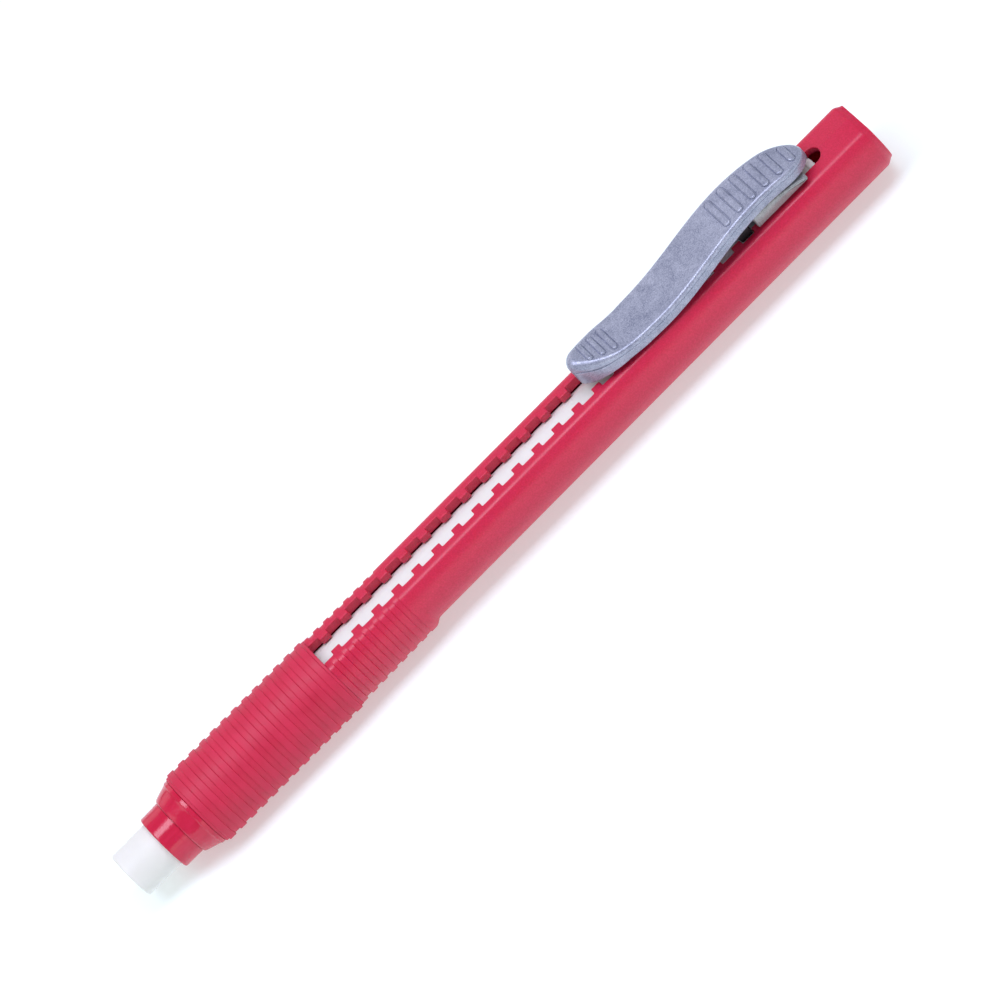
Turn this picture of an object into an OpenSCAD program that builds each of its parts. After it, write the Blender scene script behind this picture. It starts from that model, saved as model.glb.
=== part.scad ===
// Click-advance stick eraser holder: a round barrel with a toothed slot, a rubber grip,
// and a clip-shaped slider that pushes an eraser stick out of the nose.
// Pen space: x runs from the nose front (0) to the tail, z is up through the slot, and
// the bore axis is x. place() moves it so that the origin is under the middle, on the floor.

/* [Barrel] */
// Length from the nose front to the flat tail
body_len = 118.9; // [117.5:0.1:121]
// Radius of the round barrel section
barrel_r = 4.73; // [4.65:0.01:4.85]
// How far the round section sits above the bore axis
barrel_rise = 0.52; // [0.4:0.01:0.55]
// Radius of the bore
bore_r = 3.5; // [3.45:0.01:3.55]
// Height of the flat rail's edges above the bore axis
rail_z = 4.2; // [4.1:0.01:4.25]
// Fall of the rail from its middle to each side, in degrees
rail_slope = 4; // [0:0.5:5]
// Thickness of the closed tail
tail_wall = 1.5; // [1:0.1:2]

/* [Slot and teeth] */
// Half the gap between facing tooth tips
tip_half = 1.23; // [1.2:0.01:1.3]
// Half the slot's width between teeth
root_half = 2.02; // [1.9:0.01:2.1]
// Tooth pitch
tooth_pitch = 3.357; // [3.3:0.001:3.4]
// Length of the gap between two teeth
notch_len = 2.0; // [1.9:0.05:2.1]
// Number of notches along the slot
notch_count = 24; // [20:1:24]

/* [Grip and nose] */
// Radius over the rubber grip's raised bands
grip_r = 5.38; // [5.3:0.01:5.5]
// Number of raised bands on the grip
band_count = 13; // [9:1:15]
// Height of each raised band
band_rise = 0.2; // [0.1:0.05:0.3]
// Radius of the nose tube
nose_r = 3.93; // [3.9:0.01:4]
// Radius of the collar where it meets the grip
collar_r = 5.0; // [4.9:0.01:5.1]

/* [Eraser] */
// Radius of the eraser stick
stick_r = 3.22; // [3.1:0.01:3.25]
// How far the stick stands out of the nose
stick_out = 5.48; // [3.5:0.01:8]

/* [Slider] */
// Height of the arm's lowest point, near the toe
dip_z = 6.7; // [6.7:0.05:6.9]
// Height of the thumb rest
crown_z = 9.05; // [9:0.05:9.3]
// Thickness of the arm
arm_t = 1.9; // [1.8:0.05:2]
// Greatest half width of the arm
arm_half = 3.43; // [3.3:0.01:3.5]
// Half width of the saddle
saddle_half = 2.95; // [2.85:0.01:3]
// Opening angle of the gap under the thumb rest
wedge_deg = 6.5; // [6.5:0.1:7]

/* [Hidden] */
$fn = 72;
eps = 0.01;

collar_x = 2.85;            // front of the collar, along the nose tube
seat_x = 5.6;               // front of the barrel moulding, where the grip starts
grip_end_x = 28.7;          // rear edge of the grip
seat_r = 4.45;              // barrel under the grip
nose_seat_r = 3.75;         // nose tube where it sits inside the collar and the barrel
socket_r = nose_seat_r + 0.02;  // counterbore that takes the nose tube
nose_end_x = 12;            // inner end of the nose tube
nose_bore_r = stick_r + 0.14;
nose_chamfer = 0.2;
lip_r = 4.2;                // front lip of the collar
lip_x = 0.2;                // length of that lip
swell_x = 1.95;             // length of the collar's swell
rail_half = sqrt(pow(barrel_r, 2) - pow(rail_z - barrel_rise, 2));
roof_z = rail_z + rail_half * tan(rail_slope);  // middle of the rail
wide = 10;                  // wider than the part, for cutting shapes
rib_r = 4.92;               // moulded ribs behind the grip
rib_root_r = 4.76;
rib_core_r = bore_r + 0.3;  // inner side of the ring that carries the ribs
rib_pitch = 1.7;
rib_count = 7;
rib_end_x = grip_end_x + rib_count * rib_pitch;
ramp_end_x = rib_end_x + 2.3;
chamfer_x = 0.9;            // tail chamfer, along the barrel
chamfer_r = 0.45;           // tail chamfer, inwards
slot_x = 26.5;              // front end of the slot, under the grip
slot_end_x = 113.1;
slot_floor_z = 1;           // the slot is cut down to here, inside the bore
notch_x = 29.27;            // middle of the first notch
rest_notch = 21;            // the notch that the pawl stands in
pawl_x = notch_x + rest_notch * tooth_pitch;

toe_x = 73.85;              // front tip of the arm
heel_x = 111.6;             // rear tip of the arm
curl_x = 83;                // the toe curls up ahead of this
dip_x = 85;
crown_x = 102.3;
toe_curl = 0.037;
crown_curl = 0.0225;
toe_floor_z = 5.05;         // underside of the toe
side_x = [75, 110.4];       // where the arm's wavy top starts and ends
floor_end_x = 109.9;        // rear end of its underside
toe_round_r = 1.15;
heel_round = [1.2, 0.75];   // half length and half height of the rounded heel
heel_z = 6.55;
plan_mid_x = 92;            // widest place of the arm
plan_bow = 0.0022;          // how fast it narrows from there
plan_x = [79.9, 107];       // the ends of the arm are elliptical beyond these
pivot = [105.6, 5.9];       // trunnion axis, x and z
trunnion_r = 0.6;
trunnion_half = 2.1;
web_half = 0.35;            // half thickness of the web that carries the trunnion
run_gap = 0.05;             // running clearance
saddle_x = [101.5, 109.7];
neck_x = [102.6, 108.6];
neck_half = tip_half - 0.1;
foot_z = 1.2;               // foot of the neck, inside the holder
sole_z = 4.42;              // underside of the saddle, on the rail
sole_half = 2.2;            // its half width, below the chamfered sides
sole_top_z = 5.15;          // top of those chamfers
holder_x = [101.7, 111.5];
holder_r = bore_r - 0.1;
spike_r = 0.85;
spike_tip_r = 0.3;
spike_len = 8;
bar_pitch = 2.15;           // grip bars on the thumb rest
bar_count = 6;
bar_w = 0.97;
bar_half = 2.5;
bar_x = 99.1;
bar_rise = 0.22;            // bars stand this far out of the arm
bar_root = 0.4;             // and reach this far into it
toe_bar_pitch = 1.5;        // grip bars on the toe
toe_bar_count = 3;
toe_bar_w = 0.69;
toe_bar_half = 1.55;        // half length of the front toe bar
toe_bar_step = 0.27;        // each next one is longer by this on each side
toe_bar_x = 76.45;

tongue_len = 3.5;           // from the pawl's root to its tooth
tongue_half = 0.75;
tongue_z = [5.3, 5.75];
tooth_half = [0.87, 1.7];   // half length and half width of the pawl's tooth
tooth_z = 3.95;
leaf_gap = 0.9;             // the leaf starts this far behind the pivot
leaf_len = 3.1;
leaf_half = 0.9;
leaf_t = 0.1;
leaf_fall = 0.3;            // share of the gap's slope that the leaf takes

function clamp01(v) = max(0, min(1, v));

// Side outline of the arm: a wave from dip to crown, a toe that curls up, a heel that drops.
function wave(x) = (1 - cos(180 * clamp01((x - dip_x) / (crown_x - dip_x)))) / 2;
function arm_top(x) = dip_z + (crown_z - dip_z) * wave(x)
    + toe_curl * pow(max(0, curl_x - x), 2)
    - crown_curl * pow(max(0, x - crown_x), 2);
function arm_floor(x) = x < curl_x ? min(arm_top(x) - arm_t, toe_floor_z) : arm_top(x) - arm_t;

// Half width of the arm in plan, with an elliptical toe and heel.
function round_end(from_end, len) = sqrt(max(0, 1 - pow(max(0, from_end) / len, 2)));
function arm_plan(x) = (arm_half - plan_bow * pow(x - plan_mid_x, 2))
    * round_end(plan_x[0] - x, plan_x[0] - toe_x) * round_end(x - plan_x[1], heel_x - plan_x[1]);

tongue_x = pawl_x - tongue_len;             // root of the pawl's tongue
pocket_z = arm_floor(tongue_x) + 0.6;       // top of the pocket that the root sits in

module place() translate([-(body_len - stick_out) / 2, 0, grip_r]) children();

// Extrudes a y-z outline along x.
module along_x(x0, x1) translate([x0, 0, 0]) rotate([90, 0, 90]) linear_extrude(x1 - x0) children();

// Extrudes an x-z outline across y, from -half to +half.
module across_y(half) rotate([90, 0, 0]) linear_extrude(2 * half, center = true) children();

module rod_x(r, x0, x1, r1) translate([x0, 0, 0]) rotate([0, 90, 0])
    cylinder(h = x1 - x0, r1 = r, r2 = is_undef(r1) ? r : r1);

// Turns an outline of [radius, x] points about the bore axis.
module turned_x() rotate([0, 90, 0]) rotate_extrude() children();

module box_x(x0, x1, half, z0, z1) translate([x0, -half, z0]) cube([x1 - x0, 2 * half, z1 - z0]);

module under_roof() {
    eave_z = roof_z - wide * tan(rail_slope);
    polygon([[-wide, -wide], [wide, -wide], [wide, eave_z], [0, roof_z], [-wide, eave_z]]);
}

module barrel_section() intersection() {
    translate([0, barrel_rise]) circle(r = barrel_r);
    under_roof();
}

module rib_rings() turned_x() polygon(concat(
    [[rib_core_r, grip_end_x]],
    [for (i = [0 : rib_count - 1], p = [[0, 0], [0.12, 1], [0.5, 1], [0.62, 0]])
        [p[1] == 1 ? rib_r : rib_root_r, grip_end_x + (i + 0.2 + p[0]) * rib_pitch]],
    [[rib_root_r, rib_end_x], [barrel_r - barrel_rise, ramp_end_x], [rib_core_r, ramp_end_x]]));

module barrel_outside() {
    tail_x = body_len - chamfer_x;
    rod_x(seat_r, seat_x, grip_end_x + eps);
    along_x(grip_end_x, tail_x) barrel_section();
    intersection() {
        rib_rings();
        along_x(grip_end_x, ramp_end_x) under_roof();
    }
    intersection() {
        along_x(tail_x - eps, body_len) barrel_section();
        translate([0, 0, barrel_rise]) rod_x(barrel_r, tail_x - eps, body_len, barrel_r - chamfer_r);
        across_y(wide) polygon([[tail_x - eps, -wide], [body_len, -wide],
                                [body_len, roof_z - chamfer_r], [tail_x - eps, roof_z]]);
    }
}

module barrel() color("crimson") place() difference() {
    barrel_outside();
    rod_x(bore_r, seat_x - 1, body_len - tail_wall);
    rod_x(socket_r, seat_x - 1, nose_end_x);
    box_x(slot_x, slot_end_x - tip_half, tip_half, slot_floor_z, wide);
    translate([slot_end_x - tip_half, 0, slot_floor_z]) cylinder(h = wide, r = tip_half);
    for (i = [0 : notch_count - 1]) {
        x = notch_x + i * tooth_pitch;
        box_x(x - notch_len / 2, x + notch_len / 2, root_half, slot_floor_z, wide);
    }
}

module nose_tube() color("firebrick") place() turned_x() polygon([
    [nose_bore_r, 0], [nose_r - nose_chamfer, 0], [nose_r, nose_chamfer], [nose_r, collar_x],
    [nose_seat_r, collar_x], [nose_seat_r, nose_end_x], [nose_bore_r, nose_end_x]]);

// The collar swells along a quarter of a sine from its front lip to the grip.
module front_collar() color("firebrick") place() turned_x() polygon(concat(
    [[socket_r, collar_x]],
    [for (i = [0 : 8]) [lip_r + (collar_r - lip_r) * sin(90 * i / 8), collar_x + lip_x + swell_x * i / 8]],
    [[collar_r, seat_x], [socket_r, seat_x]]));

module grip_sleeve() color("indianred") place() turned_x() {
    pitch = (grip_end_x - seat_x) / band_count;
    low = grip_r - band_rise;
    polygon(concat(
        [[seat_r + eps, seat_x]],
        [for (i = [0 : band_count - 1], p = [[0, 0], [0.22, 0], [0.32, 1], [0.68, 1], [0.78, 0]])
            [low + p[1] * band_rise, seat_x + (i + p[0]) * pitch]],
        [[low, grip_end_x], [seat_r + eps, grip_end_x]]));
}

module eraser_stick() color("white") place() difference() {
    turned_x() polygon([
        [0, -stick_out], [stick_r - 0.25, -stick_out], [stick_r, 0.25 - stick_out],
        [stick_r, holder_x[0]], [0, holder_x[0]]]);
    rod_x(spike_r + run_gap, holder_x[0] - spike_len - 1, holder_x[0] + 1);
}

module eraser_holder() color("whitesmoke") place() difference() {
    union() {
        rod_x(holder_r, holder_x[0], holder_x[1]);
        rod_x(spike_r, holder_x[0] - spike_len + 1, holder_x[0] + eps);
        rod_x(spike_tip_r, holder_x[0] - spike_len, holder_x[0] - spike_len + 1, spike_r);
    }
    box_x(neck_x[0], neck_x[1], neck_half, foot_z, 5);
}

// Outline of the saddle's side: it follows the arm's underside, then opens into the wedge.
module saddle_side() polygon(concat(
    [[saddle_x[1], sole_z], [saddle_x[0], sole_z]],
    [for (i = [0 : 12]) let (x = saddle_x[0] + (saddle_x[1] - saddle_x[0]) * i / 12)
        [x, arm_floor(x) - run_gap - max(0, x - pivot[0]) * tan(wedge_deg)]]));

module slider_saddle() color("silver") place() difference() {
    union() {
        intersection() {
            across_y(saddle_half) saddle_side();
            along_x(saddle_x[0] - 1, saddle_x[1] + 1) polygon([
                [-sole_half, sole_z], [sole_half, sole_z], [saddle_half, sole_top_z],
                [saddle_half, wide], [-saddle_half, wide], [-saddle_half, sole_top_z]]);
        }
        box_x(neck_x[0], neck_x[1], neck_half, foot_z, sole_z + 0.2);
    }
    translate([pivot[0], 0, pivot[1]]) {
        rotate([90, 0, 0]) cylinder(h = 2 * (trunnion_half + 0.1), r = trunnion_r + run_gap, center = true);
        box_x(-web_half - 0.17, web_half + 0.17, trunnion_half + 0.1, 0, 4);
    }
}

module arm_side() {
    steps = 36;
    top_x = [for (i = [0 : steps]) side_x[0] + (side_x[1] - side_x[0]) * i / steps];
    low_x = [for (i = [0 : steps]) floor_end_x - (floor_end_x - side_x[0]) * i / steps];
    toe_z = arm_top(side_x[0]) - 1;
    toe = [for (a = [180 : -30 : 120]) [side_x[0] + toe_round_r * cos(a), toe_z + toe_round_r * sin(a)]];
    heel = [for (a = [60 : -30 : -90])
        [side_x[1] + heel_round[0] * cos(a), heel_z + heel_round[1] * sin(a)]];
    polygon(concat(toe, [for (x = top_x) [x, arm_top(x)]], heel, [for (x = low_x) [x, arm_floor(x)]],
        [[toe_x + 0.35, toe_floor_z + 0.2], [toe_x, toe_floor_z + 0.65]]));
}

module arm_plan_shape() {
    steps = 40;
    xs = [for (i = [0 : steps]) toe_x + (heel_x - toe_x) * (1 - cos(180 * i / steps)) / 2];
    polygon(concat([for (x = xs) [x, arm_plan(x)]],
                   [for (i = [steps - 1 : -1 : 1]) [xs[i], -arm_plan(xs[i])]]));
}

// A grip bar laid across the arm's top, tilted with the slope.
module grip_bar(x, width, half) translate([x, 0, arm_top(x)])
    rotate([0, atan((arm_top(x - 0.5) - arm_top(x + 0.5))), 0])
        translate([-width / 2, -half, -bar_root]) cube([width, 2 * half, bar_root + bar_rise]);

module thumb_lever() color("silver") place() {
    difference() {
        intersection() {
            across_y(wide) arm_side();
            linear_extrude(wide) arm_plan_shape();
        }
        box_x(tongue_x - 1 - run_gap, tongue_x + 1 + run_gap, tongue_half + run_gap, 0, pocket_z);
    }
    for (i = [0 : bar_count - 1]) {
        x = bar_x + i * bar_pitch;
        grip_bar(x, bar_w, min(bar_half, arm_plan(x) - 0.65));
    }
    for (i = [0 : toe_bar_count - 1])
        grip_bar(toe_bar_x + i * toe_bar_pitch, toe_bar_w, toe_bar_half + toe_bar_step * i);
    translate([pivot[0], 0, pivot[1]]) {
        rotate([90, 0, 0]) cylinder(h = 2 * trunnion_half, r = trunnion_r, center = true);
        box_x(-web_half, web_half, trunnion_half, 0, 1.3);
    }
}

// A springy tongue under the arm, with a tooth that stands in a notch of the slot.
module latch_pawl() color("dimgray") place() {
    box_x(tongue_x - 1, tongue_x + 1, tongue_half, tongue_z[0], pocket_z - run_gap);
    box_x(tongue_x - 1, pawl_x + tooth_half[0], tongue_half, tongue_z[0], tongue_z[1]);
    box_x(pawl_x - tooth_half[0], pawl_x + tooth_half[0], tooth_half[1], tooth_z, tongue_z[1]);
}

// A bent leaf in the wedge that pushes the heel up again.
function leaf_z(x) = arm_floor(x) - run_gap
    - (leaf_fall * (x - pivot[0]) + (1 - leaf_fall) * leaf_gap) * tan(wedge_deg);

module return_spring() color("lightsteelblue") place() across_y(leaf_half) {
    xs = [for (i = [0 : 6]) pivot[0] + leaf_gap + leaf_len * i / 6];
    polygon(concat([for (x = xs) [x, leaf_z(x) + leaf_t]],
                   [for (i = [6 : -1 : 0]) [xs[i], leaf_z(xs[i])]]));
}

barrel();
nose_tube();
front_collar();
grip_sleeve();
eraser_stick();
eraser_holder();
slider_saddle();
thumb_lever();
latch_pawl();
return_spring();
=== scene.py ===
import math
import bmesh
import bpy
from mathutils import Matrix, Vector


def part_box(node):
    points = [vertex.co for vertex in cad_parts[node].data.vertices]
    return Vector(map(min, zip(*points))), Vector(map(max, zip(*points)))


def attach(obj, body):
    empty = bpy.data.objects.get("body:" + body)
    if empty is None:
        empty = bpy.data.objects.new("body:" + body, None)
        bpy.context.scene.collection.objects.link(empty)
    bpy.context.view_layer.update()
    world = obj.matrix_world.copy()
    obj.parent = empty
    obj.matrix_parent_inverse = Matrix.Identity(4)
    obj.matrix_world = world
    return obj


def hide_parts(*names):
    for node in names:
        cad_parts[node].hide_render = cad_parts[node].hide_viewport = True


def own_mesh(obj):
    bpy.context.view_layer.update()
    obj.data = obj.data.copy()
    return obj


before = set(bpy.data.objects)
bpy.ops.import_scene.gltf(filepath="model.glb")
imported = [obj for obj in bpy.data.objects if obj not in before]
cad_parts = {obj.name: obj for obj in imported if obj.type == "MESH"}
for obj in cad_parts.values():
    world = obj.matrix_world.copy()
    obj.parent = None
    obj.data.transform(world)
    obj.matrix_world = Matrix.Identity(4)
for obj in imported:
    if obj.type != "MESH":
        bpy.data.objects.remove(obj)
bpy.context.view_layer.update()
print("CAD frame loaded")

# Pen millimetres: x runs from the nose front to the tail, y across, z up from the bore axis.
noseLow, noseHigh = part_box("nose_tube")
penToFrame = Matrix.Translation((noseLow.x, 0, (noseLow.z + noseHigh.z) / 2)) @ Matrix.Scale(0.001, 4)


def penPoint(x, y, z):
    return tuple(penToFrame @ Vector((x, y, z)))


# Camera, floor and lights come first, so that every piece is seen in the same view.

view = {
    "aim": (57.1, 0.264, 0.237),   # pen millimetres
    "distance": 0.9,               # metres
    "elevation": 48.0,             # degrees above the floor
    "roll": 45.2,                  # the pen climbs to the upper right
    "lens": 272.9,
}


def makeCamera(s):
    high, turn = math.radians(s["elevation"]), math.radians(s["roll"])
    back = Vector((0, -math.cos(high), math.sin(high)))
    across = Vector((0, math.sin(high), math.cos(high)))
    along = Vector((1, 0, 0))
    right = math.cos(turn) * along - math.sin(turn) * across
    up = math.sin(turn) * along + math.cos(turn) * across
    data = bpy.data.cameras.new("camera")
    data.lens = s["lens"]
    data.clip_start = 0.01
    camera = bpy.data.objects.new("camera", data)
    turned = Matrix((right, up, back)).transposed().to_4x4()
    place = Vector(penPoint(*s["aim"])) + s["distance"] * back
    camera.matrix_world = Matrix.Translation(place) @ turned
    bpy.context.scene.collection.objects.link(camera)
    bpy.context.scene.camera = camera


studio = {
    "aim": (57, 0, 0),             # pen millimetres
    "sky": "F4F6FA",
    "skyStrength": 0.38,
    "floorHalf": 1.2,            # metres
}
lights = [
    # name, colour, direction from the pen, distance, length along the pen, depth, watts
    ("topBox", "EDEFFF", (0.0, -0.08, 1.0), 0.42, 0.60, 0.17, 1.9),
    ("frontFill", "FFFBF2", (0.05, -1.0, 0.10), 0.55, 0.60, 0.22, 0.50),
    ("backFill", "FFF6F4", (-0.10, 0.95, 0.42), 0.60, 0.70, 0.30, 0.50),
    ("tailFill", "FFFBF6", (1.0, -0.15, 0.55), 0.55, 0.30, 0.30, 0.12),
    ("noseFill", "FFFBF6", (-1.0, 0.10, 0.60), 0.55, 0.30, 0.30, 0.30),
]


def makeLights():
    target = Vector(penPoint(*studio["aim"]))
    for name, colour, direction, distance, length, depth, watts in lights:
        towards = Vector(direction).normalized()
        data = bpy.data.lights.new(name, "AREA")
        data.shape = "RECTANGLE"
        data.color = hexToLinear(colour)[:3]
        data.size = length
        data.size_y = depth
        data.energy = watts
        lamp = bpy.data.objects.new(name, data)
        side = Vector((1, 0, 0)) if abs(towards.x) < 0.9 else Vector((0, 1, 0))
        upward = towards.cross(side).normalized()
        side = upward.cross(towards)
        lamp.matrix_world = Matrix.Translation(target + distance * towards) @ \
            Matrix((side, upward, towards)).transposed().to_4x4()
        bpy.context.scene.collection.objects.link(lamp)
    world = bpy.data.worlds.new("studio")
    world.use_nodes = True
    sky = world.node_tree.nodes["Background"]
    sky.inputs["Color"].default_value = hexToLinear(studio["sky"])
    sky.inputs["Strength"].default_value = studio["skyStrength"]
    bpy.context.scene.world = world


# Materials. Patterns are sized in millimetres. Each "rough" is the roughness that the pattern's range
# "roughFrom" is mapped to, and each "bump" is a strength and a depth in millimetres.

def hexToLinear(code):
    parts = [int(code[i:i + 2], 16) / 255 for i in (0, 2, 4)]
    return tuple(v / 12.92 if v <= 0.04045 else ((v + 0.055) / 1.055) ** 2.4 for v in parts) + (1.0,)


def addNode(tree, kind, settings=None, links=None):
    node = tree.nodes.new(kind)
    for key, value in (settings or {}).items():
        if isinstance(key, int) or key in node.inputs:
            node.inputs[key].default_value = value
        else:
            setattr(node, key, value)
    for key, source in (links or {}).items():
        tree.links.new(source, node.inputs[key])
    return node


def newMaterial(name):
    material = bpy.data.materials.new(name)
    material.use_nodes = True
    tree = material.node_tree
    tree.nodes.clear()
    return material, tree, addNode(tree, "ShaderNodeTexCoord").outputs["Object"]


def perMetre(millimetres):
    return 1000 / millimetres       # texture scale that gives features of this size


def addNoise(tree, place, millimetres, detail, roughness=0.5, distortion=0.0):
    noise = addNode(tree, "ShaderNodeTexNoise", {
        "Scale": perMetre(millimetres), "Detail": detail, "Roughness": roughness,
        "Distortion": distortion}, {"Vector": place})
    return noise.outputs["Fac"]


def drawOut(tree, place, stretch):   # stretches a pattern along the pen
    mapping = addNode(tree, "ShaderNodeMapping", {"Scale": (stretch, 1, 1)}, {"Vector": place})
    return mapping.outputs["Vector"]


def addShader(tree, s, toneBy, roughBy=None, bumpBy=None):
    tone = addNode(tree, "ShaderNodeMix", {
        "data_type": "RGBA", 6: hexToLinear(s["deep"]), 7: hexToLinear(s["light"])}, {0: toneBy})
    links = {"Base Color": tone.outputs[2]}
    if roughBy is not None:
        rough = addNode(tree, "ShaderNodeMapRange", {
            "From Min": s["roughFrom"][0], "From Max": s["roughFrom"][1],
            "To Min": s["rough"][0], "To Max": s["rough"][1]}, {"Value": roughBy})
        links["Roughness"] = rough.outputs["Result"]
    if bumpBy is not None:
        bump = addNode(tree, "ShaderNodeBump", {
            "Strength": s["bump"][0], "Distance": s["bump"][1] / 1000}, {"Height": bumpBy})
        links["Normal"] = bump.outputs["Normal"]
    shader = addNode(tree, "ShaderNodeBsdfPrincipled", s["shader"], links)
    addNode(tree, "ShaderNodeOutputMaterial", {}, {"Surface": shader.outputs["BSDF"]})


# ABS moulded in a spark-eroded tool: a satin skin of tiny pits that breaks the
# highlight into a soft speckled sheen. The real pits are 0.05 mm, drawn at 0.2 mm.
sparkAbs = {
    "deep": "B80A36", "light": "D82250", "cloud": (9.0, 3.0), "pit": (0.2, 4.0, 0.6),
    "contrast": (1.6, -0.3), "rough": (0.31, 0.43), "roughFrom": (0.3, 0.7), "bump": (0.3, 0.02),
    "shader": {"IOR": 1.53, "Subsurface Weight": 0.2, "Subsurface Radius": (0.0025, 0.0003, 0.0003),
               "Subsurface Scale": 1.0},
}


def makeSparkErodedAbs():
    s = sparkAbs
    material, tree, place = newMaterial("absSparkEroded")
    grain = addNoise(tree, place, *s["pit"])
    gain, shift = s["contrast"]
    mottle = addNode(tree, "ShaderNodeMath", {"operation": "MULTIPLY_ADD", 1: gain, 2: shift}, {0: grain})
    addShader(tree, s, mottle.outputs[0], addNoise(tree, place, *s["cloud"]), grain)
    return material


# ABS moulded in a polished tool: a wet, deep gloss with long thin flow lines and
# the odd rub mark, so its highlights are bright streaks with clean edges.
polishedAbs = {
    "deep": "BE0C36", "light": "D01A48", "flow": (0.5, 3.0), "stretch": 0.12,
    "rough": (0.12, 0.24), "roughFrom": (0.35, 0.75), "bump": (0.08, 0.03),
    "shader": {"IOR": 1.53, "Subsurface Weight": 0.08, "Subsurface Radius": (0.0012, 0.0002, 0.0002),
               "Subsurface Scale": 0.5},
}


def makePolishedAbs():
    s = polishedAbs
    material, tree, place = newMaterial("absPolished")
    flow = addNoise(tree, drawOut(tree, place, s["stretch"]), *s["flow"])
    addShader(tree, s, flow, flow, flow)
    return material


# TPE rubber, moulded: no mirror highlight at all, a chalky pink bloom where the
# light grazes it, and a handled look from faint smears of 2 to 3 mm.
tpeRubber = {
    "deep": "B60735", "light": "D62550", "smear": (2.4, 5.0, 0.65, 0.6), "tooth": (0.25, 3.0),
    "rough": (0.48, 0.66), "roughFrom": (0.3, 0.7), "bump": (0.4, 0.03),
    "shader": {"IOR": 1.5, "Sheen Weight": 0.06, "Sheen Roughness": 0.5, "Sheen Tint": hexToLinear("F0A0B0"),
               "Subsurface Weight": 0.06, "Subsurface Radius": (0.001, 0.0002, 0.0002),
               "Subsurface Scale": 0.5},
}


def makeTpeRubber():
    s = tpeRubber
    material, tree, place = newMaterial("tpeRubberMoulded")
    smear = addNoise(tree, place, *s["smear"])
    addShader(tree, s, smear, smear, addNoise(tree, place, *s["tooth"]))
    return material


# Soft PVC eraser, extruded: milky white with a cool cast, slightly translucent,
# with die lines drawn along it every 0.3 mm or so.
eraserVinyl = {
    "deep": "E0DFDC", "light": "EAE9E6", "line": (0.3, 3.0), "stretch": 0.03, "cloud": (3.0, 4.0),
    "rough": (0.42, 0.60), "roughFrom": (0.0, 1.0), "bump": (0.15, 0.03),
    "shader": {"IOR": 1.52, "Subsurface Weight": 0.3, "Subsurface Radius": (0.001, 0.001, 0.0012),
               "Subsurface Scale": 1.0},
}


def makeEraserVinyl():
    s = eraserVinyl
    material, tree, place = newMaterial("pvcEraserExtruded")
    lines = addNoise(tree, drawOut(tree, place, s["stretch"]), *s["line"])
    addShader(tree, s, addNoise(tree, place, *s["cloud"]), lines, lines)
    return material


# ABS filled with aluminium flake: a cool grey with a pearly depth, where single
# flakes glint and the tone shifts a little along the flow. Flakes are 0.05 mm, drawn at 0.09.
flakeAbs = {
    "deep": "757B94", "light": "BCC0D4", "flake": 0.09, "glint": 0.8, "flow": (2.5, 3.0, 0.5, 0.8),
    "toneFrom": (0.3, 1.5), "rough": (0.28, 0.44), "roughFrom": (0.0, 1.0), "bump": (0.12, 0.02),
    "shader": {"Metallic": 0.35, "IOR": 1.5, "Coat Weight": 0.25, "Coat Roughness": 0.2},
}

# The same filled ABS for the saddle, in a plainer, darker grey: painted shade, for the shade on its side
# faces.
shadedSaddleAbs = dict(flakeAbs, deep="707377", light="B6B8BA", rough=(0.32, 0.48))


def makeFlakeAbs(name, s):
    material, tree, place = newMaterial(name)
    flakes = addNode(tree, "ShaderNodeTexVoronoi", {"Scale": perMetre(s["flake"])}, {"Vector": place})
    glint = addNode(tree, "ShaderNodeSeparateColor", {}, {"Color": flakes.outputs["Color"]})
    blend = addNode(tree, "ShaderNodeMath", {"operation": "MULTIPLY_ADD", 1: s["glint"]},
                    {0: glint.outputs[0], 2: addNoise(tree, place, *s["flow"])})
    share = addNode(tree, "ShaderNodeMapRange", {
        "From Min": s["toneFrom"][0], "From Max": s["toneFrom"][1]}, {"Value": blend.outputs[0]})
    addShader(tree, s, share.outputs["Result"], glint.outputs[1], glint.outputs[2])
    return material


# White POM, moulded: waxy and even, with faint sink clouds.
whitePom = {
    "deep": "EBEAE8", "light": "F6F5F2", "cloud": (1.2, 4.0), "scuff": (0.2, 2.0),
    "rough": (0.35, 0.5), "roughFrom": (0.0, 1.0), "bump": (0.1, 0.02), "shader": {"IOR": 1.48},
}

# Dark POM for the latch: the same waxy skin in charcoal, scuffed paler where it rubs. The charcoal is
# painted shade, for the deep shade under the lever.
paintedShadePom = dict(whitePom, deep="17181B", light="25272B", rough=(0.31, 0.46))


def makePom(name, s):
    material, tree, place = newMaterial(name)
    scuffs = addNoise(tree, place, *s["scuff"])
    addShader(tree, s, addNoise(tree, place, *s["cloud"]), scuffs, scuffs)
    return material


# Spring steel strip, cold rolled: fine roll lines along the strip stretch its highlight.
rolledSteel = {
    "deep": "9A9DA0", "light": "C6C8CA", "line": (0.06, 2.0), "stretch": 0.05,
    "rough": (0.22, 0.37), "roughFrom": (0.0, 1.0), "bump": (0.1, 0.01), "shader": {"Metallic": 1.0},
}


def makeRolledSteel():
    s = rolledSteel
    material, tree, place = newMaterial("springSteelRolled")
    lines = addNoise(tree, drawOut(tree, place, s["stretch"]), *s["line"])
    addShader(tree, s, lines, lines, lines)
    return material


# Opal acrylic shooting table, lit from below: plain, matt and almost white, so the
# shadows on it stay pale and neutral.
opalAcrylic = {
    "deep": "C6D5D6", "light": "CAD8D9", "cloud": (4.0, 2.0),
    "shader": {"Roughness": 0.9, "Specular IOR Level": 0.1, "Emission Color": hexToLinear("FFFFFF"),
               "Emission Strength": 0.43},
}


def makeOpalAcrylic():
    s = opalAcrylic
    material, tree, place = newMaterial("acrylicOpalMatt")
    addShader(tree, s, addNoise(tree, place, *s["cloud"]))
    return material


# Shapes, all in pen millimetres.

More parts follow.
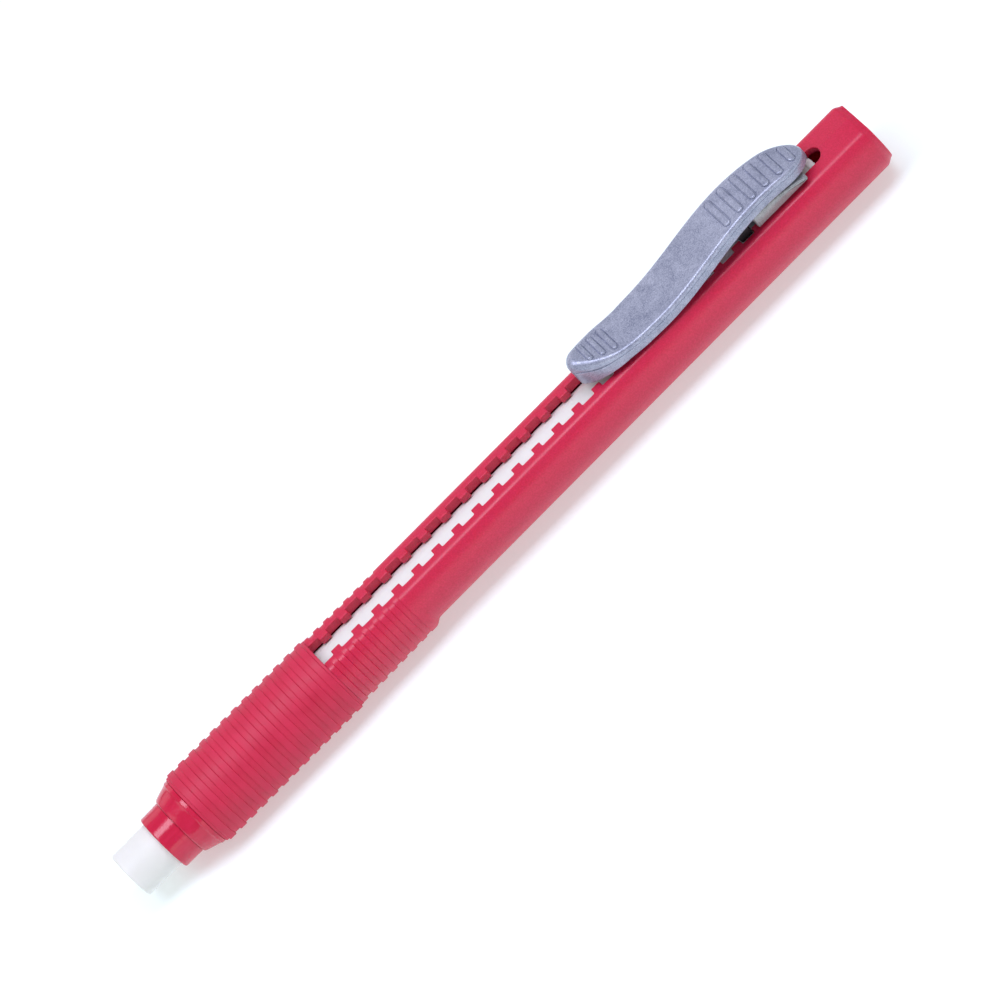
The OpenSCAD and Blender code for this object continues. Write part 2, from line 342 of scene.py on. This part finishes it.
weld = {"merge": 0.0005, "degenerate": 0.0004}


def makeSolid(name, points, faces):
    mesh = bpy.data.meshes.new(name)
    mesh.from_pydata(points, [], faces)
    shape = bmesh.new()
    shape.from_mesh(mesh)
    bmesh.ops.remove_doubles(shape, verts=shape.verts, dist=weld["merge"])
    bmesh.ops.dissolve_degenerate(shape, edges=shape.edges, dist=weld["degenerate"])
    bmesh.ops.recalc_face_normals(shape, faces=shape.faces)
    shape.to_mesh(mesh)
    shape.free()
    piece = bpy.data.objects.new(name, mesh)
    bpy.context.scene.collection.objects.link(piece)
    return piece


def skinFaces(count, ringSize):      # quads between neighbouring closed rings
    return [(r * ringSize + i, r * ringSize + (i + 1) % ringSize,
             (r + 1) * ringSize + (i + 1) % ringSize, (r + 1) * ringSize + i)
            for r in range(count - 1) for i in range(ringSize)]


def stackRings(name, rings):         # a solid through rings of equal length, flat at both ends
    size = len(rings[0])
    points = [p for ring in rings for p in ring]
    last = (len(rings) - 1) * size
    ends = [tuple(range(size)), tuple(range(last, last + size))]
    return makeSolid(name, points, skinFaces(len(rings), size) + ends)


def circle(radius, steps):           # points of a full circle about (0, 0)
    turns = [2 * math.pi * k / steps for k in range(steps)]
    return [(radius * math.cos(a), radius * math.sin(a)) for a in turns]


def turnProfile(name, profile, segments=144):   # a closed outline of (x, radius), turned about the bore
    rings = [[(x, y, z) for y, z in circle(r, segments)] for x, r in profile + profile[:1]]
    return makeSolid(name, [p for ring in rings for p in ring], skinFaces(len(rings), segments))


def roundCorners(corners, steps=5):  # (u, v, radius) corners to a line of points with true arcs
    line = []
    for i, (u, v, radius) in enumerate(corners):
        here = Vector((u, v))
        if radius <= 0:
            line.append((u, v))
            continue
        toBefore = (Vector(corners[i - 1][:2]) - here).normalized()
        toAfter = (Vector(corners[(i + 1) % len(corners)][:2]) - here).normalized()
        half = toBefore.angle(toAfter) / 2
        centre = here + (toBefore + toAfter).normalized() * radius / math.sin(half)
        first = here + toBefore * radius / math.tan(half) - centre
        last = here + toAfter * radius / math.tan(half) - centre
        start = math.atan2(first.y, first.x)
        sweep = (math.atan2(last.y, last.x) - start + math.pi) % (2 * math.pi) - math.pi
        line += [(centre.x + radius * math.cos(start + sweep * k / steps),
                  centre.y + radius * math.sin(start + sweep * k / steps)) for k in range(steps + 1)]
    return line


def insetLine(line, depth):          # a closed line moved inwards, along its own normals
    area = sum(line[i - 1][0] * line[i][1] - line[i][0] * line[i - 1][1] for i in range(len(line)))
    moved = []
    for i, here in enumerate(line):
        before, after = Vector(line[i - 1]), Vector(line[(i + 1) % len(line)])
        point = Vector(here)
        a, b = point - before, after - point
        a = a.normalized() if a.length > 1e-6 else b.normalized()
        b = b.normalized() if b.length > 1e-6 else a
        normal = Vector((-a.y - b.y, a.x + b.x)) * (1 if area > 0 else -1)
        if normal.length > 1e-6:
            normal.normalize()
            lean = max(0.5, normal.dot(Vector((-a.y, a.x)) * (1 if area > 0 else -1)))
            point = point + normal * depth / lean
        moved.append((point.x, point.y))
    return moved


def edgeSteps(radius, steps=4):      # (inset, drop) pairs that round an edge over
    turns = [math.pi * k / 2 / steps for k in range(steps + 1)]
    return [(radius * (1 - math.cos(a)), radius * (1 - math.sin(a))) for a in turns]


def boxLine(left, right, low, high): # a plain closed rectangle
    return [(left, low), (right, low), (right, high), (left, high)]


def plateAcross(name, outline, half, edge):     # an x-z outline made solid across y, with rounded edges
    rounds = edgeSteps(edge)
    sides = [(inset, -half + drop) for inset, drop in reversed(rounds)] + \
            [(inset, half - drop) for inset, drop in rounds]
    return stackRings(name, [[(u, y, v) for u, v in insetLine(outline, inset)] for inset, y in sides])


def combine(piece, tool, operation):
    step = piece.modifiers.new("step", "BOOLEAN")
    step.object = tool
    step.operation = operation
    step.solver = "EXACT"
    bpy.context.view_layer.update()
    shape = bpy.data.meshes.new_from_object(piece.evaluated_get(bpy.context.evaluated_depsgraph_get()))
    piece.modifiers.clear()
    old = piece.data
    piece.data = shape
    bpy.data.meshes.remove(old)
    bpy.data.objects.remove(tool)


def placePiece(piece, body, material, node, sharpDegrees=32):
    mesh = piece.data
    mesh.transform(penToFrame)
    mesh.materials.clear()
    mesh.materials.append(material)
    mesh.shade_smooth()
    mesh.set_sharp_from_angle(angle=math.radians(sharpDegrees))
    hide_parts(node)
    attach(piece, body)
    print(piece.name, len(mesh.polygons), "faces")


def smoothStep(value):
    value = max(0.0, min(1.0, value))
    return value * value * (3 - 2 * value)


# Barrel: an eccentric round section under a flat rail, grooved behind the grip, slotted and toothed.

barrel = {
    "length": 118.9, "radius": 4.73, "rise": 0.52, "bore": 3.5, "tailWall": 1.5, "tailFan": 2.0,
    "railEdge": 4.2, "railHalf": 2.97, "railSlope": 4.0, "ridgeRound": 0.26, "roofFrom": 0.05,
    "creaseBelow": 0.5, "creaseReach": 1e-6,
    "seatX": 5.6, "seatRadius": 4.45, "socketRadius": 3.77, "socketEnd": 12.0,
    "gripEnd": 28.7, "grooveCount": 7, "grooveFirst": 29.85, "groovePitch": 1.685, "grooveWidth": 0.78,
    "grooveDepth": (0.22, 0.14), "grooveEase": 0.06, "swellRadius": (5.13, 4.93), "swellEnd": 41.1,
    "swellFloor": 4.2, "swellBlend": 0.12, "rampEnd": 42.8,
    "chamferLength": 1.1, "chamferDepth": 0.52, "chamferEase": 0.06,
}
slot = {
    "start": 26.5, "end": 113.1, "tipHalf": 1.23, "rootHalf": 2.02, "pitch": 3.357, "notch": 2.0,
    "count": 24, "first": 29.27, "tipRound": 0.14, "rootRound": 0.17, "edge": 0.10,
    "shallow": 0.16, "flare": 1.02, "skin": 0.02, "floor": 1.0, "top": 6.0, "restNotch": 21,
}


def roofHeight(y):
    edgeHalf = math.sqrt(barrel["radius"] ** 2 - (barrel["railEdge"] - barrel["rise"]) ** 2)
    return barrel["railEdge"] + (edgeHalf - abs(y)) * math.tan(math.radians(barrel["railSlope"]))


def grooveAt(x):
    s = barrel
    reach = s["grooveWidth"] / 2 + s["grooveEase"]
    for i in range(s["grooveCount"]):
        away = abs(x - s["grooveFirst"] - i * s["groovePitch"])
        if away < reach:
            first, last = s["grooveDepth"]
            depth = first + (last - first) * i / (s["grooveCount"] - 1)
            return depth * smoothStep((reach - away) / (2 * s["grooveEase"]))
    return 0.0


def softMin(a, b, width):
    blend = max(width - abs(a - b), 0.0) / width
    return min(a, b) - blend * blend * width / 4


def barrelRadius(angle, x, shrink=0.0):      # distance from the bore axis to the outside
    s = barrel
    rise, across, height = s["rise"], math.cos(angle), math.sin(angle)
    outside = rise * height + math.sqrt((s["radius"] - shrink) ** 2 - (rise * across) ** 2)
    if x < s["rampEnd"]:
        front, rear = s["swellRadius"]
        swell = front + (rear - front) * min(1, (x - s["gripEnd"]) / (s["swellEnd"] - s["gripEnd"]))
        ramp = smoothStep((x - s["swellEnd"]) / (s["rampEnd"] - s["swellEnd"]))
        swell -= (swell - s["swellFloor"]) * ramp
        outside = -softMin(-outside, -swell, s["swellBlend"])
    outside -= grooveAt(x)
    if height <= s["roofFrom"]:
        return outside
    slope = math.tan(math.radians(s["railSlope"]))
    flat = (roofHeight(0) - shrink) / (height + abs(across) * slope)
    return softMin(outside, flat, s["ridgeRound"])


def barrelAngles(spread=8, roofSteps=10, underSteps=72):    # a degree apart at the ridges
    ridge = math.degrees(math.atan2(barrel["railEdge"], barrel["railHalf"]))
    near = [ridge - spread + i for i in range(2 * spread + 1)]
    roof = [near[-1] + (180 - 2 * near[-1]) * i / roofSteps for i in range(1, roofSteps)]
    under = [180 - near[0] + (180 + 2 * near[0]) * i / underSteps for i in range(1, underSteps)]
    return [math.radians(a) for a in near + roof + [180 - a for a in reversed(near)] + under]


def barrelStations(rampSteps=12, bodySteps=16):
    s = barrel
    ease = s["grooveEase"]
    xs = [s["gripEnd"], s["gripEnd"] + 0.3]
    for i in range(s["grooveCount"]):
        middle = s["grooveFirst"] + i * s["groovePitch"]
        edges = [s["grooveWidth"] / 2 + d for d in (ease, ease / 2, 0.0, -ease / 2, -ease)]
        xs += [middle - e for e in edges] + [middle] + [middle + e for e in reversed(edges)]
    xs += [s["swellEnd"] + (s["rampEnd"] - s["swellEnd"]) * i / rampSteps for i in range(rampSteps + 1)]
    tail = s["length"] - s["chamferLength"]
    return xs + [s["rampEnd"] + (tail - s["rampEnd"]) * i / bodySteps for i in range(1, bodySteps + 1)]


def makeBarrelSolid(chamferSteps=8):
    s = barrel
    angles = barrelAngles()

    def ring(x, radius):
        radii = [radius(a) if callable(radius) else radius for a in angles]
        return [(x, r * math.cos(a), r * math.sin(a)) for a, r in zip(angles, radii)]

    boreEnd = s["length"] - s["tailWall"]
    rings = [ring(boreEnd, 0.0), ring(boreEnd, s["bore"]), ring(s["socketEnd"], s["bore"]),
             ring(s["socketEnd"], s["socketRadius"]), ring(s["seatX"], s["socketRadius"]),
             ring(s["seatX"], s["seatRadius"]), ring(s["gripEnd"], s["seatRadius"])]
    for x in barrelStations():
        rings.append(ring(x, lambda a: barrelRadius(a, x)))
    for i in range(1, chamferSteps + 1):     # the chamfer, with both of its edges eased
        share = i / chamferSteps
        shrink = s["chamferDepth"] * (share - s["chamferEase"] * math.sin(2 * math.pi * share))
        rings.append(ring(s["length"] - s["chamferLength"] * (1 - share),
                          lambda a: barrelRadius(a, s["length"], shrink)))
    rings += [ring(s["length"], s["tailFan"]), ring(s["length"], 0.0)]
    return makeSolid("barrelShell", [p for r in rings for p in r], skinFaces(len(rings), len(angles)))


def slotOutline():
    s = slot
    tip, root = s["tipHalf"], s["rootHalf"]
    side = [(s["start"], tip, 0.0)]
    for i in range(s["count"]):
        near = s["first"] + i * s["pitch"] - s["notch"] / 2
        far = near + s["notch"]
        deep = root - s["shallow"] * max(0.0, 1 - i / 2)     # the first notches are a little shallower
        side += [(near, tip, s["tipRound"]), (near, deep, s["rootRound"]),
                 (far, deep, s["rootRound"]), (far, tip, s["tipRound"])]
    centre = s["end"] - tip
    end = [(centre + tip * math.cos(a), tip * math.sin(a), 0.0)
           for a in (math.radians(90 - 10 * k) for k in range(19))]
    return roundCorners(side + end + [(x, -y, r) for x, y, r in reversed(side)], 4)


def makeSlotTool():
    s = slot
    edge = s["edge"]
    line = slotOutline()
    rings = [[(x, y, s["floor"]) for x, y in line]]
    for k in range(6):
        lean = math.radians(16 * k)
        out = edge * (1 - math.cos(lean))
        drop = edge - edge * math.sin(lean)
        rings.append([(x, y, roofHeight(y) - drop) for x, y in insetLine(line, -out)])
    top = insetLine(line, -edge * s["flare"])
    rings.append([(x, y, roofHeight(y) + s["skin"]) for x, y in top])
    rings.append([(x, y, s["top"]) for x, y in top])
    return stackRings("slotTool", rings)


def makeBarrel(material):
    piece = makeBarrelSolid()
    combine(piece, makeSlotTool(), "DIFFERENCE")
    placePiece(piece, "barrel_group", material, "barrel", sharpDegrees=30)
    rail = penPoint(0, 0, barrel["railEdge"] - barrel["creaseBelow"])[2]
    points = piece.data.vertices
    for edge in piece.data.edges:    # the crease along the middle of the rail, behind the slot
        ends = [points[i].co for i in edge.vertices]
        if all(abs(end.y) < barrel["creaseReach"] and end.z > rail for end in ends):
            edge.use_edge_sharp = True


# Nose tube, collar and grip: turned shapes.

nose = {
    "radius": 3.93, "seatRadius": 3.75, "bore": 3.36, "collarX": 2.83, "end": 12.0, "edge": 0.22,
    "boreEdge": 0.12, "flareX": 2.05, "flareRun": 0.12, "flare": 0.03, "fine": 0.05, "rearEdge": 0.1,
}


def makeNoseTube(material):
    s = nose
    slim = s["radius"] - s["flare"]
    outline = roundCorners([
        (0, s["bore"], s["boreEdge"]), (0, slim, s["edge"]), (s["flareX"], slim, 0),
        (s["flareX"] + s["flareRun"], s["radius"], s["fine"]), (s["collarX"], s["radius"], s["fine"]),
        (s["collarX"], s["seatRadius"], 0), (s["end"], s["seatRadius"], s["rearEdge"]),
        (s["end"], s["bore"], s["rearEdge"])])
    placePiece(turnProfile("noseTube", outline), "barrel_group", material, "nose_tube")


collar = {
    "bore": 3.77, "front": 2.87, "rear": 5.57, "lip": 4.08, "lipEdge": 0.05,
    "swell": [(2.98, 4.20), (3.1, 4.26), (3.5, 4.40), (4.0, 4.555), (4.5, 4.70), (4.8, 4.80), (4.95, 4.87)],
    "rimX": 5.06, "rim": 4.985, "rimEdges": (0.06, 0.08),
}


def makeFrontCollar(material):
    s = collar
    outline = roundCorners(
        [(s["front"], s["bore"], 0), (s["front"], s["lip"], s["lipEdge"])] +
        [(x, r, 0) for x, r in s["swell"]] +
        [(s["rimX"], s["rim"], s["rimEdges"][0]), (s["rear"], s["rim"], s["rimEdges"][1]),
         (s["rear"], s["bore"], 0)])
    piece = turnProfile("frontCollar", outline)
    placePiece(piece, "barrel_group", material, "front_collar")


grip = {
    "bore": 4.46, "front": 5.6, "rear": 28.68, "bands": 13, "low": 5.17, "high": 5.37,
    "raisedShare": 0.5, "slope": 0.07, "edge": 0.05,
    "frontRim": (5.15, 0.12), "rearRim": (5.16, 0.08),      # radius and edge rounding
}


def makeGripSleeve(material):
    s = grip
    pitch = (s["rear"] - s["front"]) / s["bands"]
    half = pitch * s["raisedShare"] / 2
    corners = [(s["front"], s["bore"], 0), (s["front"],) + s["frontRim"]]
    for i in range(s["bands"]):
        middle = s["front"] + (i + 0.5) * pitch
        corners += [(middle - half - s["slope"], s["low"], s["edge"]), (middle - half, s["high"], s["edge"]),
                    (middle + half, s["high"], s["edge"]), (middle + half + s["slope"], s["low"], s["edge"])]
    corners += [(s["rear"],) + s["rearRim"], (s["rear"], s["bore"], 0)]
    piece = turnProfile("gripSleeve", roundCorners(corners, 3))
    placePiece(piece, "barrel_group", material, "grip_sleeve")


# Eraser stick and its holder.

eraser = {
    "radius": 3.22, "tip": -5.48, "rear": 101.7, "edge": 0.28, "rearEdge": 0.15,
    "holeRadius": 0.9, "holeDepth": 9.0, "holeEdge": 0.08,
}


def makeEraserStick(material):
    s = eraser
    bottom = s["rear"] - s["holeDepth"]
    outline = roundCorners([
        (s["tip"], 0, 0), (s["tip"], s["radius"], s["edge"]), (s["rear"], s["radius"], s["rearEdge"]),
        (s["rear"], s["holeRadius"], s["holeEdge"]), (bottom, s["holeRadius"], 0), (bottom, 0, 0)], 6)
    placePiece(turnProfile("eraserStick", outline), "eraser_group", material, "eraser_stick")


holder = {
    "radius": 3.4, "front": 101.7, "rear": 111.65, "frontEdge": 0.3, "rearEdge": 0.25,
    "spikeRadius": 0.85, "spikeLength": 8.0, "tipRadius": 0.3, "taper": 1.0, "taperEdge": 0.3,
    "spikeRoot": 0.1, "groove": (1.2, 0.9), "grooveDepth": 0.2,
    "neckX": (102.6, 108.6), "neckHalf": 1.13, "foot": 1.2, "pocketTop": 5.0, "clean": 0.02,
}


def makeEraserHolder(material):
    s = holder
    tip = s["front"] - s["spikeLength"]
    grooveFront, grooveRear = (s["rear"] - d for d in s["groove"])
    low = s["radius"] - s["grooveDepth"]
    outline = roundCorners([
        (tip, 0, 0), (tip, s["tipRadius"], 0), (tip + s["taper"], s["spikeRadius"], s["taperEdge"]),
        (s["front"], s["spikeRadius"], s["spikeRoot"]), (s["front"], s["radius"], s["frontEdge"]),
        (grooveFront, s["radius"], 0), (grooveFront, low, 0), (grooveRear, low, 0),
        (grooveRear, s["radius"], 0), (s["rear"], s["radius"], s["rearEdge"]), (s["rear"], 0, 0)])
    piece = turnProfile("eraserHolder", outline)
    pocket = boxLine(*s["neckX"], s["foot"], s["pocketTop"])
    combine(piece, plateAcross("pocket", pocket, s["neckHalf"], s["clean"]), "DIFFERENCE")
    placePiece(piece, "slider_group", material, "eraser_holder")


# Slider: the clip-shaped thumb lever on its saddle.

lever = {
    "toe": 73.7, "heel": 111.6, "dip": 6.7, "crown": 9.05, "dipX": 85.0, "crownX": 102.3,
    "curlX": 83.0, "toeCurl": 0.037, "crownCurl": 0.0225, "thickness": 1.9, "toeFloor": 5.05,
    "floorBlend": 0.15, "toeCap": 9.22, "capBlend": 0.3, "liftX": 109.0, "liftRun": 2.6, "heelLift": 0.25,
    "half": 3.43, "planMiddle": 92.0, "planBow": 0.0022, "planEnds": (79.9, 107.0),
    "topEdge": 0.5, "bottomEdge": 0.18, "crowning": 0.04, "seamBelow": 0.12, "seamDepth": 0.05,
    "seamLips": (0.07, 0.05, 0.02), "toeRound": 1.5, "toeRoundX": 6.5, "toeRoundRun": 6,
    "stations": 150, "strips": 10,
    "pivot": (105.6, 5.9), "trunnion": 0.6, "trunnionHalf": 2.1, "trunnionEdge": 0.06, "circleSteps": 48,
    "web": 0.35, "webTop": 1.4, "webEdge": 0.03,
    "pocketX": (-4.55, -2.45), "pocketMiddle": 3.5, "pocketTop": 0.6, "pocketHalf": 0.8, "clean": 0.02,
}
bars = {
    "head": {"first": 99.1, "pitch": 2.15, "count": 6, "width": 0.9, "half": 2.5, "grow": 0.0},
    "toe": {"first": 76.45, "pitch": 1.5, "count": 3, "width": 0.69, "half": 1.55, "grow": 0.27},
    "rise": 0.21, "moat": 0.17, "edge": 0.2, "endRound": 0.98, "crownShare": 0.6, "margin": 0.62,
    "moatLevels": [(0.08, -0.12), (0.0, 0.02), (-0.1, 0.5)], "foot": (-0.03, -0.4),     # inset, height
}


def leverTop(x):
    s = lever
    share = max(0, min(1, (x - s["dipX"]) / (s["crownX"] - s["dipX"])))
    wave = (1 - math.cos(math.pi * share)) / 2
    height = s["dip"] + (s["crown"] - s["dip"]) * wave + s["toeCurl"] * max(0, s["curlX"] - x) ** 2 \
        - s["crownCurl"] * max(0, x - s["crownX"]) ** 2
    return softMin(height, s["toeCap"], s["capBlend"]) if x < s["curlX"] else height


def leverFloor(x):
    s = lever
    under = leverTop(x) - s["thickness"]
    if x < s["curlX"]:
        return softMin(under, s["toeFloor"], s["floorBlend"])
    return under + s["heelLift"] * smoothStep((x - s["liftX"]) / s["liftRun"])


def leverHalf(x):
    s = lever
    front, rear = s["planEnds"]
    toe = max(0, front - x) / (front - s["toe"])
    heel = max(0, x - rear) / (s["heel"] - rear)
    return (s["half"] - s["planBow"] * (x - s["planMiddle"]) ** 2) * \
        math.sqrt(max(0, 1 - toe * toe)) * math.sqrt(max(0, 1 - heel * heel))


def leverOutline(stations):
    s = lever
    xs = [s["toe"] + (s["heel"] - s["toe"]) * (1 - math.cos(math.pi * i / stations)) / 2
          for i in range(stations + 1)]
    near = [(x, -leverHalf(x)) for x in xs]
    return near + [(x, -y) for x, y in reversed(near[1:-1])]


def makeLeverBody():
    s = lever
    stations, strips = s["stations"], s["strips"]
    line = leverOutline(stations)
    rings = []
    for inset, drop in reversed(edgeSteps(s["bottomEdge"])):
        rings.append([(x, y, leverFloor(x) + drop) for x, y in insetLine(line, inset)])
    seam = s["topEdge"] + s["seamBelow"]
    outer, inner, upper = s["seamLips"]
    depth = s["seamDepth"]
    partingLine = [(0, seam + outer), (depth, seam + inner), (depth, seam), (0, seam - upper)]
    for inset, drop in partingLine + edgeSteps(s["topEdge"], 8):
        ring = []        # the edge is rounder at the toe
        for edgePoint, moved in zip(line, insetLine(line, inset)):
            grow = s["toeRound"] * smoothStep((s["toe"] + s["toeRoundX"] - edgePoint[0]) / s["toeRoundRun"])
            x = moved[0] + (moved[0] - edgePoint[0]) * grow
            ring.append((x, moved[1] + (moved[1] - edgePoint[1]) * grow, leverTop(x) - drop * (1 + grow)))
        rings.append(ring)
    size, points = len(line), [p for ring in rings for p in ring]
    faces = skinFaces(len(rings), size)
    for start, bow in ((0, 0.0), ((len(rings) - 1) * size, s["crowning"])):     # both broad faces
        rows = []
        for i in range(stations + 1):
            left, right = start + i, start + (size - i) % size
            if left == right:
                rows.append([left] * (strips + 1))
                continue
            row = [left]
            a, b = Vector(points[left]), Vector(points[right])
            for k in range(1, strips):
                p = a.lerp(b, k / strips)
                share = (2 * k / strips - 1) ** 2
                points.append((p.x, p.y, p.z + bow * (1 - share) * min(1, abs(a.y) / 2)))
                row.append(len(points) - 1)
            rows.append(row + [right])
        for i in range(stations):
            for k in range(strips):
                quad = (rows[i][k], rows[i][k + 1], rows[i + 1][k + 1], rows[i + 1][k])
                corners = tuple(dict.fromkeys(quad))
                if len(corners) > 2:
                    faces.append(corners)
    return makeSolid("thumbLever", points, faces)


def barSolid(name, x, halfLength, halfWidth, levels):     # a pill-shaped stack standing on the lever's top
    slope = math.atan(leverTop(x + 0.5) - leverTop(x - 0.5))
    base = leverTop(x) + lever["crowning"] * bars["crownShare"]
    corners = boxLine(-halfWidth, halfWidth, -halfLength, halfLength)
    line = roundCorners([(u, v, halfWidth * bars["endRound"]) for u, v in corners], 8)
    rings = []
    for inset, height in levels:
        rings.append([(x + u * math.cos(slope) - height * math.sin(slope), v,
                       base + u * math.sin(slope) + height * math.cos(slope))
                      for u, v in insetLine(line, inset)])
    return stackRings(name, rings)


def pawlX():                         # the notch that the latch rests in
    return slot["first"] + slot["restNotch"] * slot["pitch"]


def pivotCircle(radius):
    px, pz = lever["pivot"]
    return [(px + x, pz + z) for x, z in circle(radius, lever["circleSteps"])]


def makeThumbLever(material):
    piece = makeLeverBody()
    moat, rise = bars["moat"], bars["rise"]
    for where in ("head", "toe"):
        s = bars[where]
        for i in range(s["count"]):
            x = s["first"] + i * s["pitch"]
            half = min(s["half"] + s["grow"] * i, leverHalf(x) - bars["margin"])
            wide = s["width"] / 2
            trench = barSolid("moat", x, half + moat, wide + moat, bars["moatLevels"])
            combine(piece, trench, "DIFFERENCE")
            levels = [bars["foot"]] + [(inset, rise - drop) for inset, drop in edgeSteps(bars["edge"])]
            combine(piece, barSolid("bar", x, half, wide, levels), "UNION")
    s = lever
    px, pz = s["pivot"]
    left, right = (pawlX() + d for d in s["pocketX"])
    pocket = boxLine(left, right, 0, leverFloor(pawlX() - s["pocketMiddle"]) + s["pocketTop"])
    combine(piece, plateAcross("pocket", pocket, s["pocketHalf"], s["clean"]), "DIFFERENCE")
    web = boxLine(px - s["web"], px + s["web"], pz, pz + s["webTop"])
    combine(piece, plateAcross("web", web, s["trunnionHalf"], s["webEdge"]), "UNION")
    pin = pivotCircle(s["trunnion"])
    combine(piece, plateAcross("pin", pin, s["trunnionHalf"], s["trunnionEdge"]), "UNION")
    placePiece(piece, "lever_group", material, "thumb_lever", sharpDegrees=34)


saddle = {
    "x": (101.5, 109.7), "half": 2.97, "soleHalf": 2.2, "sole": 4.42, "soleTop": 5.15, "gap": 0.05,
    "wedge": 6.5, "edge": 0.28, "frontRound": 0.35, "topRound": 0.12, "rearRound": 0.45, "crownSteps": 16,
    "neckOverlap": 0.3, "neckRound": 0.1, "neckEdge": 0.05,
    "cradle": 0.65, "sideGap": 0.1, "throatGap": 0.17, "throatTop": 4.0, "clean": 0.02,
}


def wedgeTop(x):
    opened = math.tan(math.radians(saddle["wedge"]))
    return leverFloor(x) - saddle["gap"] - max(0, x - lever["pivot"][0]) * opened


def makeSliderSaddle(material):
    s = saddle
    front, rear = s["x"]
    xs = [front + (rear - front) * i / s["crownSteps"] for i in range(s["crownSteps"])]
    outline = roundCorners(
        [(front, s["sole"], s["frontRound"])] + [(x, wedgeTop(x), 0) for x in xs] +
        [(rear, wedgeTop(rear), s["topRound"]), (rear, s["sole"], s["rearRound"])])
    piece = plateAcross("sliderSaddle", outline, s["half"], s["edge"])
    for vertex in piece.data.vertices:      # the sides taper in towards the rail
        share = max(0.0, min(1.0, (s["soleTop"] - vertex.co.z) / (s["soleTop"] - s["sole"])))
        vertex.co.y *= 1 - share * (1 - s["soleHalf"] / s["half"])
    neckFront, neckRear = holder["neckX"]
    neckTop = s["sole"] + s["neckOverlap"]
    neck = roundCorners([(neckFront, holder["foot"], s["neckRound"]), (neckFront, neckTop, 0),
                         (neckRear, neckTop, 0), (neckRear, holder["foot"], s["neckRound"])])
    combine(piece, plateAcross("neck", neck, holder["neckHalf"], s["neckEdge"]), "UNION")
    px, pz = lever["pivot"]
    throat = lever["web"] + s["throatGap"]
    mouth = boxLine(px - throat, px + throat, pz, pz + s["throatTop"])
    for name, line in (("cradle", pivotCircle(s["cradle"])), ("mouth", mouth)):
        tool = plateAcross(name, line, lever["trunnionHalf"] + s["sideGap"], s["clean"])
        combine(piece, tool, "DIFFERENCE")
    placePiece(piece, "slider_group", material, "slider_saddle", sharpDegrees=34)


# Latch pawl and return spring, under the lever.

# The pawl's tongue runs forward under the lever so that this charcoal piece fills the first notch: a dark
# piece standing in for shade, painted shade.
pawl = {
    "tongue": 3.5, "tongueHalf": 0.74, "tongueZ": (5.3, 5.75), "rootHalf": 1.0, "rootTop": 0.53,
    "toothHalf": (0.87, 1.7), "toothZ": 3.95, "edge": 0.08,
    "bend": 0.15, "crook": 0.3, "rootRound": 0.05, "toothRound": 0.25,
}


def makeLatchPawl(material):
    s = pawl
    x = pawlX()
    root = x - s["tongue"]
    front, rear = root - s["rootHalf"], root + s["rootHalf"]
    half, halfAcross = s["toothHalf"]
    low, high = s["tongueZ"]
    top = leverFloor(root) + s["rootTop"]
    tongue = roundCorners([
        (front, low, s["bend"]), (x + half, low, 0), (x + half, high, s["bend"]), (rear, high, s["crook"]),
        (rear, top, s["rootRound"]), (front, top, s["rootRound"])])
    piece = plateAcross("latchPawl", tongue, s["tongueHalf"], s["edge"])
    tooth = roundCorners([
        (x - half, s["toothZ"], s["toothRound"]), (x + half, s["toothZ"], s["toothRound"]),
        (x + half, high, s["bend"]), (x - half, high, s["bend"])])
    combine(piece, plateAcross("tooth", tooth, halfAcross, s["edge"]), "UNION")
    placePiece(piece, "lever_group", material, "latch_pawl")


leaf = {
    "gap": 0.9, "length": 3.1, "half": 0.9, "thickness": 0.1, "fall": 0.3, "steps": 14, "edge": 0.02,
    "keep": 0.3,                   # the share of its height left when the lever is pressed
}


def makeReturnSpring(material):
    s = leaf
    start = lever["pivot"][0] + s["gap"]
    opened = math.tan(math.radians(saddle["wedge"]))

    def underside(x):
        away = s["fall"] * (x - lever["pivot"][0]) + (1 - s["fall"]) * s["gap"]
        return leverFloor(x) - saddle["gap"] - away * opened

    xs = [start + s["length"] * i / s["steps"] for i in range(s["steps"] + 1)]
    outline = [(x, underside(x)) for x in xs] + [(x, underside(x) + s["thickness"]) for x in reversed(xs)]
    piece = plateAcross("returnSpring", outline, s["half"], s["edge"])
    placePiece(piece, "slider_group", material, "return_spring")
    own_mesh(piece)


# The scene.

def makeFloor(material):
    half = studio["floorHalf"]
    corners = [(-half, -half, 0), (half, -half, 0), (half, half, 0), (-half, half, 0)]
    mesh = bpy.data.meshes.new("floor")
    mesh.from_pydata(corners, [], [(0, 1, 2, 3)])
    mesh.materials.append(material)
    floor = bpy.data.objects.new("floor", mesh)
    bpy.context.scene.collection.objects.link(floor)


makeCamera(view)
makeLights()
makeFloor(makeOpalAcrylic())
bpy.context.scene.view_settings.view_transform = "Standard"
print("camera, lights and floor ready")

polished = makePolishedAbs()
makeBarrel(makeSparkErodedAbs())
makeNoseTube(polished)
makeFrontCollar(polished)
makeGripSleeve(makeTpeRubber())
makeEraserStick(makeEraserVinyl())
makeEraserHolder(makePom("pomWhite", whitePom))
makeThumbLever(makeFlakeAbs("absFlakeLever", flakeAbs))
makeSliderSaddle(makeFlakeAbs("absFlakeSaddleShaded", shadedSaddleAbs))
makeLatchPawl(makePom("pomPaintedShade", paintedShadePom))
makeReturnSpring(makeRolledSteel())
print("all pieces in place")
